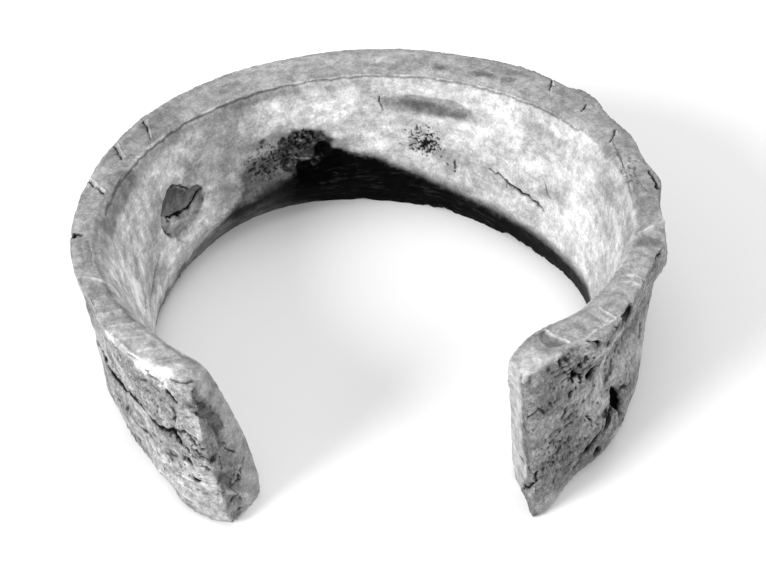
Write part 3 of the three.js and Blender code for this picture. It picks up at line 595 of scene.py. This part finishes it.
def nearMarks(at):
    wanted = np.zeros(len(at["z"]), bool)
    for name, line, width, depth, paintedShade in braceletSet["cracks"]:
        d = fromLine(at["charts"][name], [onChart(name, q) for q in line])
        wanted |= (d < width + 0.2) & (at["reach"][name] > 0.2)
    for name, line, width, rise, paleWearAndHighlight in braceletSet["lips"]:
        d = fromLine(at["charts"][name], [onChart(name, q) for q in line])
        wanted |= (d < width + 0.1) & (at["reach"][name] > 0.2)
    for name, where, height, halfLength, halfHeight, turn, depth, paintedShade in braceletSet["pits"]:
        centre = onChart(name, (where, height))
        d = fromSpot(at["charts"][name], centre, halfLength + 0.15, halfHeight + 0.15, turn)
        wanted |= (d < 1) & (at["reach"][name] > 0.2)
    for name, outline, depth, left, soft in braceletSet["scars"]:
        d = inOutline(at["charts"][name], [onChart(name, q) for q in outline])
        wanted |= (np.abs(d) < 0.35) & (at["reach"][name] > 0.2)
    for name, where, height, halfLength, halfHeight, size, share, depth, paintedShade in braceletSet["eaten"]:
        if share > 0.25:
            d = fromSpot(at["charts"][name], onChart(name, (where, height)), halfLength, halfHeight, 0)
            wanted |= (d < 1) & (at["reach"][name] > 0.2)
    return wanted


def countTriangles(obj):
    obj.data.calc_loop_triangles()
    return len(obj.data.loop_triangles)


def addRaggedness(at):
    co = at["co"]
    at["warp"] = 0.5 * np.stack([cloud(co, 0.9, 51, 3) - 0.5, cloud(co, 0.9, 61, 3) - 0.5], 1)
    at["blot"] = 2.2 * np.stack([cloud(co, 1.8, 81, 4) - 0.5, cloud(co, 1.8, 91, 4) - 0.5], 1)


def findCrust(at):
    # the outer face, roughest on the arms, and each end beyond its smooth strip
    crust = at["face"] * (0.5 + 0.5 * at["arms"])
    ragged = 1.2 * (cloud(at["co"], 1.2, 19, 3) - 0.5)
    beyond = {}
    for end, line in (("leftEnd", "leftLine"), ("rightEnd", "rightLine")):
        heights, radii = zip(*braceletSet[line])
        strip = np.interp(at["z"], heights, radii)
        beyond[end] = at[end] * smooth(-0.35, 0.45, at["radius"] + ragged - strip)
        crust = np.maximum(crust, beyond[end])
    return crust, beyond


def wearSkin(at, crust):
    wear = braceletSet["wear"]
    co = at["co"]
    rightArm = smooth(5, -12, at["angle"])
    # layers split off along the band, lumps and crumbs of the outer face
    layer = cloud(at["band"] * np.array([0.28, 1.0, 0.25]), wear["layerSize"], 3, 4) * wear["layers"]
    step = layer - np.floor(layer)
    ledge = np.floor(layer) + smooth(0.30, 0.55, step)
    lift = -(ledge / wear["layers"] - 0.38) * (1.0 - 0.5 * rightArm) * crust
    lift += crust * wear["lumps"] * (cloud(co, 2.4, 13, 3) - 0.5)
    lift += crust * wear["crumbs"] * (cloud(co, 0.7, 31, 2) - 0.5)
    # low undulation of the bore, pitted skin of the rim
    waves = wear["boreWaves"] * (cloud(co, 4.0, 45, 3) - 0.5)
    grain = wear["boreGrain"] * (cloud(co, 0.9, 47, 2) - 0.5)
    lift += (1 - crust) * at["bore"] * (waves + grain)
    waves = wear["rimWaves"] * (cloud(co, 2.6, 49, 3) - 0.35)
    grain = wear["rimGrain"] * (cloud(co, 0.8, 53, 2) - 0.5)
    lift -= at["rim"] * np.clip(wear["rimFall"] + waves + grain, 0.02, 0.4)
    # painted shade in the crevices below the layers of the arms
    below = smooth(0.50, 0.58, step) * smooth(0.76, 0.64, step)
    below = below * smooth(0.52, 0.66, cloud(co, 1.8, 37, 3))
    paintedHollowShade = wear["creviceShade"] * below * crust * at["arms"]
    return {"lift": lift, "paintedHollowShade": paintedHollowShade, "paleWearAndHighlight": np.zeros(len(co)), "tone": np.ones(len(co))}


def raiseLips(at, worn):
    for name, line, width, rise, lipPaleAndHighlight in braceletSet["lips"]:
        d = fromLine(at["charts"][name] + 0.5 * at["warp"], [onChart(name, q) for q in line])
        raised = smooth(width, width * 0.2, d) * at["reach"][name]
        if name == "bore":  # broken up there
            raised *= smooth(0.38, 0.56, cloud(at["co"], 0.5, 33, 3))
        worn["lift"] += rise * raised
        # paler along the lip: partly pale wear, partly a painted highlight
        worn["paleWearAndHighlight"] = np.maximum(worn["paleWearAndHighlight"], lipPaleAndHighlight * raised)


def loseFlakes(at, worn):
    for name, outline, depth, left, soft in braceletSet["scars"]:
        ragged = 0.7 * at["warp"] + min(1, soft) * at["blot"]
        d = inOutline(at["charts"][name] + ragged, [onChart(name, q) for q in outline])
        cut = smooth(soft, -soft, d) * at["reach"][name]
        if soft > 0.4:  # granular, with islands left in it
            spared = 1 - smooth(0.30, 0.52, cloud(at["co"], 0.9, 27, 3) + 0.16 * cut)
            cut *= 1 - (0.45 if soft < 0.7 else 0.2) * spared
            cut *= 0.74 + 0.5 * cloud(at["co"], 0.36, 29, 2)
        worn["lift"] -= depth * cut
        worn["tone"] *= 1 - (1 - left) * np.minimum(cut, 1)


def openCracks(at, worn):
    uneven = 0.55 + 0.9 * cloud(at["co"], 1.4, 71, 2)
    for name, line, width, depth, paintedShade in braceletSet["cracks"]:
        ragged = 1.5 * at["warp"] * min(1, width * 4)
        d = fromLine(at["charts"][name] + ragged, [onChart(name, q) for q in line]) / uneven
        reach = smooth(0.15, 0.5, at["reach"][name])
        worn["lift"] -= depth * smooth(width * 1.1, width * 0.3, d) * reach
        # painted shade in the crack
        worn["paintedHollowShade"] = np.maximum(worn["paintedHollowShade"], paintedShade * smooth(width * 0.95, width * 0.45, d) * reach)


def sinkPits(at, worn):
    for name, where, height, halfLength, halfHeight, turn, depth, paintedShade in braceletSet["pits"]:
        centre = onChart(name, (where, height))
        d = fromSpot(at["charts"][name] + 1.1 * at["warp"], centre, halfLength, halfHeight, turn)
        reach = smooth(0.15, 0.5, at["reach"][name])
        worn["lift"] -= depth * smooth(1.15, 0.5, d) * reach
        # painted shade in the pit
        worn["paintedHollowShade"] = np.maximum(worn["paintedHollowShade"], paintedShade * smooth(1.05, 0.6, d) * reach)


def eatPlaces(at, worn):
    for name, where, height, halfLength, halfHeight, size, share, depth, paintedShade in braceletSet["eaten"]:
        centre = onChart(name, (where, height))
        d = fromSpot(at["charts"][name] + 2.0 * at["warp"], centre, halfLength, halfHeight, 0)
        zone = smooth(1.25, 0.4, d) * smooth(0.15, 0.5, at["reach"][name])
        holes = cloud(at["co"], size, int(100 + 7 * where), 2)
        gone = smooth(0.02, 0.10, holes - 0.74 + 0.36 * share * zone)
        worn["lift"] -= depth * gone * zone
        # painted shade in the holes
        worn["paintedHollowShade"] = np.maximum(worn["paintedHollowShade"], paintedShade * gone * smooth(0.05, 0.4, zone))


def moveSurface(obj, at, worn):
    z = at["z"]
    lift = worn["lift"] * (1 - at["foot"])
    co = at["co"] + at["normal"] * lift[:, None]
    # small chips along the lower edge of the bore
    chips = np.clip(cloud(at["band"], 2.2, 39, 4) - 0.46, 0, 0.2) * braceletSet["wear"]["chips"]
    co[:, 2] += chips * smooth(30.2, 28.8, at["radius"]) * smooth(1.8, 0.1, z)
    toe = np.hypot(co[:, 0] - braceletSet["toe"][0], co[:, 1] - braceletSet["toe"][1])
    co[:, 2] += braceletSet["toeRise"] * smooth(2.8, 0.2, toe) * smooth(3.0, 0.0, z)
    co = np.clip(co, boxLow, boxHigh)
    obj.data.vertices.foreach_set("co", (co * mm).ravel())
    obj.data.update()
    return co


# painted shadow cast by the left wall over the lower part of the bore
def paintShadowOnBore(at, moved):
    angle = at["angle"]
    edges, tops = zip(*braceletSet["paintedShadow"])
    places, depths = zip(*braceletSet["paintedShadowDepth"])
    ragged = 0.4 + 0.8 * smooth(84, 100, angle)
    top = np.interp(angle, edges, tops) + 1.6 * (cloud(moved, 1.8, 95, 4) - 0.5) * ragged
    blur = 1.3 - 0.6 * smooth(70, 96, angle) + 0.6 * smooth(109, 116, angle) - 0.9 * smooth(122, 132, angle)
    return np.interp(angle, places, depths) * smooth(1, -1, (at["z"] - top) / blur) * at["reach"]["bore"]


def toneSurface(at, worn, beyond, rough, moved):
    tones = braceletSet["tones"]
    base = sum(tones[name] * at[name] for name in tones)
    total = sum(at[name] for name in tones)
    tone = worn["tone"] * (base / np.maximum(total, 0.2))
    tone *= (1 - 0.3 * beyond["leftEnd"]) * (1 - 0.52 * beyond["rightEnd"])
    for name, where, height, halfLength, halfHeight, turn, factor, soft in braceletSet["stains"]:
        ragged = at["blot"] * min(1, halfHeight)
        centre = onChart(name, (where, height))
        d = fromSpot(at["charts"][name] + ragged, centre, halfLength, halfHeight, turn)
        tone *= 1 + (factor - 1) * smooth(1 + soft, 1 - soft, d) * at["reach"][name]
    # mottled bore, flecked at the left, and patches on the outer face
    patches = smooth(0.38, 0.62, cloud(at["band"] * np.array([0.6, 1, 1]), 3.4, 23, 5))
    tone *= 1 + at["bore"] * (0.26 * patches - 0.13)
    left = smooth(112, 128, at["angle"])
    flecks = smooth(0.40, 0.62, cloud(moved, 1.5, 63, 4)) * left
    tone *= 1 + at["bore"] * (0.34 * flecks - 0.15 * left)
    tone *= 1 + at["face"] * (0.16 - 0.32 * rough)
    # painted shadow over the lower part of the bore
    tone *= 1 - paintShadowOnBore(at, moved)
    # lips made paler: partly pale wear, partly a painted highlight
    return tone * (1 + 0.5 * worn["paleWearAndHighlight"]) + 0.10 * worn["paleWearAndHighlight"]


def thinBracelet(obj):
    pick(obj)
    bpy.ops.object.modifier_add(type="DECIMATE")
    obj.modifiers["Decimate"].ratio = min(1, braceletSet["mostTriangles"] / countTriangles(obj))
    bpy.ops.object.modifier_apply(modifier="Decimate")
    bpy.ops.object.shade_smooth()
    co = np.zeros(len(obj.data.vertices) * 3)
    obj.data.vertices.foreach_get("co", co)
    co = np.clip(co.reshape(-1, 3), boxLow * mm, boxHigh * mm)
    obj.data.vertices.foreach_set("co", co.ravel())
    obj.data.update()
    print("bracelet thinned", countTriangles(obj))


def wearBracelet(obj):
    refine(obj, inView(readPlaces(obj)))
    print("bracelet refined where it shows", countTriangles(obj))
    refine(obj, nearMarks(readPlaces(obj)))
    print("bracelet refined at its marks", countTriangles(obj))

    at = readPlaces(obj)
    addRaggedness(at)
    crust, beyond = findCrust(at)
    worn = wearSkin(at, crust)
    for mark in (raiseLips, loseFlakes, openCracks, sinkPits, eatPlaces):
        mark(at, worn)
    moved = moveSurface(obj, at, worn)
    rough = smooth(0.40, 0.60, cloud(at["band"] * np.array([0.5, 1, 1]), 3.0, 57, 4))
    tone = toneSurface(at, worn, beyond, rough, moved)
    crust = crust * (0.45 + 0.55 * rough)
    for name, values in (("tone", tone), ("paintedHollowShade", worn["paintedHollowShade"]), ("crust", crust)):
        slot = obj.data.attributes.new(name, "FLOAT", "POINT")
        slot.data.foreach_set("value", values.astype(np.float32))
    slot = obj.data.attributes.new("band", "FLOAT_VECTOR", "POINT")
    slot.data.foreach_set("vector", (at["band"] * np.array([0.2, 1, 1]) * mm).astype(np.float32).ravel())
    print("bracelet worn", countTriangles(obj))
    thinBracelet(obj)


ivorySet = {
    # noise scale, detail and roughness, the part of its range that is used, and the tones there
    "mottle": (200, 8, 0.66, 0.38, 0.62, 0.82, 1.14),
    "blotch": (800, 6, 0.7, 0.40, 0.60, 0.76, 1.18),
    "streak": (700, 4, 0.65, 0.40, 0.60, 0.88, 1.12),
    "grain": (3000, 3, 0.75, 0.40, 0.60, 0.78, 1.18),
    "crumb": (2600, 4, 0.8, 0.42, 0.58, 0.64, 1.14),
    "fibre": (2000, 4, 0.7, 0.50, 0.70, 0.0, 0.02),
    "fibrePatch": (260, 3, 0.6, 0.44, 0.60, 0.1, 1.0),
    # the deepest painted shade in cracks, pits and holes
    "deepestShade": 0.03,  # share of the tone left in a crack
    "palest": 0.88,
    "roughness": (0.55, 0.92),  # of the smooth parts and of the crust
    "shine": 0.02,
    "bump": (1500, 5, 0.7),
    "bumpShare": (0.35, 1.2),
    "bumpHeight": 0.0003,  # m
    "bumpStrength": 0.6,
}


def makeIvory():
    mat = bpy.data.materials.new("weatheredIvory")
    mat.use_nodes = True
    tree = mat.node_tree
    nodes, links = tree.nodes, tree.links
    shader = nodes["Principled BSDF"]
    place = nodes.new("ShaderNodeTexCoord").outputs["Object"]

    def attribute(name):
        n = nodes.new("ShaderNodeAttribute")
        n.attribute_name = name
        return n.outputs["Fac"]

    def combine(operation, a, b):
        n = nodes.new("ShaderNodeMath")
        n.operation = operation
        for socket, value in zip(n.inputs, (a, b)):
            if isinstance(value, (int, float)):
                socket.default_value = value
            else:
                links.new(value, socket)
        return n.outputs[0]

    def noise(scale, detail, rough, vector=place):
        n = nodes.new("ShaderNodeTexNoise")
        n.inputs["Scale"].default_value = scale
        n.inputs["Detail"].default_value = detail
        n.inputs["Roughness"].default_value = rough
        links.new(vector, n.inputs["Vector"])
        return n.outputs["Fac"]

    def spread(value, low, high, toLow, toHigh):
        n = nodes.new("ShaderNodeMapRange")
        n.inputs["From Min"].default_value = low
        n.inputs["From Max"].default_value = high
        n.inputs["To Min"].default_value = toLow
        n.inputs["To Max"].default_value = toHigh
        links.new(value, n.inputs["Value"])
        return n.outputs["Result"]

    def soften(value, amount):
        return combine("ADD", combine("MULTIPLY", combine("SUBTRACT", value, 1.0), amount), 1.0)

    def pattern(name, vector=place):
        scale, detail, rough, low, high, toLow, toHigh = ivorySet[name]
        return spread(noise(scale, detail, rough, vector), low, high, toLow, toHigh)

    crust = attribute("crust")
    along = nodes.new("ShaderNodeAttribute")
    along.attribute_name = "band"
    along = along.outputs["Vector"]
    fineness = spread(crust, 0, 1, 0.75, 1.0)
    blotch = soften(pattern("blotch"), fineness)
    grain = soften(pattern("grain"), fineness)
    crumb = soften(pattern("crumb"), crust)
    tone = attribute("tone")
    for layer in (pattern("mottle"), blotch, pattern("streak", along), grain, crumb):
        tone = combine("MULTIPLY", tone, layer)
    # faint streaks that still show where the painted shadow makes the bore black
    tone = combine("ADD", tone, combine("MULTIPLY", pattern("fibre", along), pattern("fibrePatch")))
    # painted shade in cracks, pits, holes and crevices darkens the tone
    tone = combine("MULTIPLY", tone, spread(attribute("paintedHollowShade"), 0, 1, 1.0, ivorySet["deepestShade"]))
    tone = combine("MINIMUM", tone, ivorySet["palest"])
    colour = nodes.new("ShaderNodeCombineColor")
    for k in range(3):
        links.new(tone, colour.inputs[k])
    links.new(colour.outputs[0], shader.inputs["Base Color"])
    links.new(spread(crust, 0, 1, *ivorySet["roughness"]), shader.inputs["Roughness"])
    shader.inputs["Specular IOR Level"].default_value = ivorySet["shine"]
    bump = nodes.new("ShaderNodeBump")
    bump.inputs["Strength"].default_value = ivorySet["bumpStrength"]
    bump.inputs["Distance"].default_value = ivorySet["bumpHeight"]
    uneven = combine("MULTIPLY", noise(*ivorySet["bump"]), spread(crust, 0, 1, *ivorySet["bumpShare"]))
    links.new(uneven, bump.inputs["Height"])
    links.new(bump.outputs["Normal"], shader.inputs["Normal"])
    return mat


def makeBracelet():
    obj = copyNode()
    print("bracelet remeshed", countTriangles(obj))
    wearBracelet(obj)
    obj.data.materials.clear()
    obj.data.materials.append(makeIvory())
    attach(obj, "root")
    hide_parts("bracelet")
    print("bracelet done")


makeCamera()
makeFloor()
makeLights()
makeBracelet()
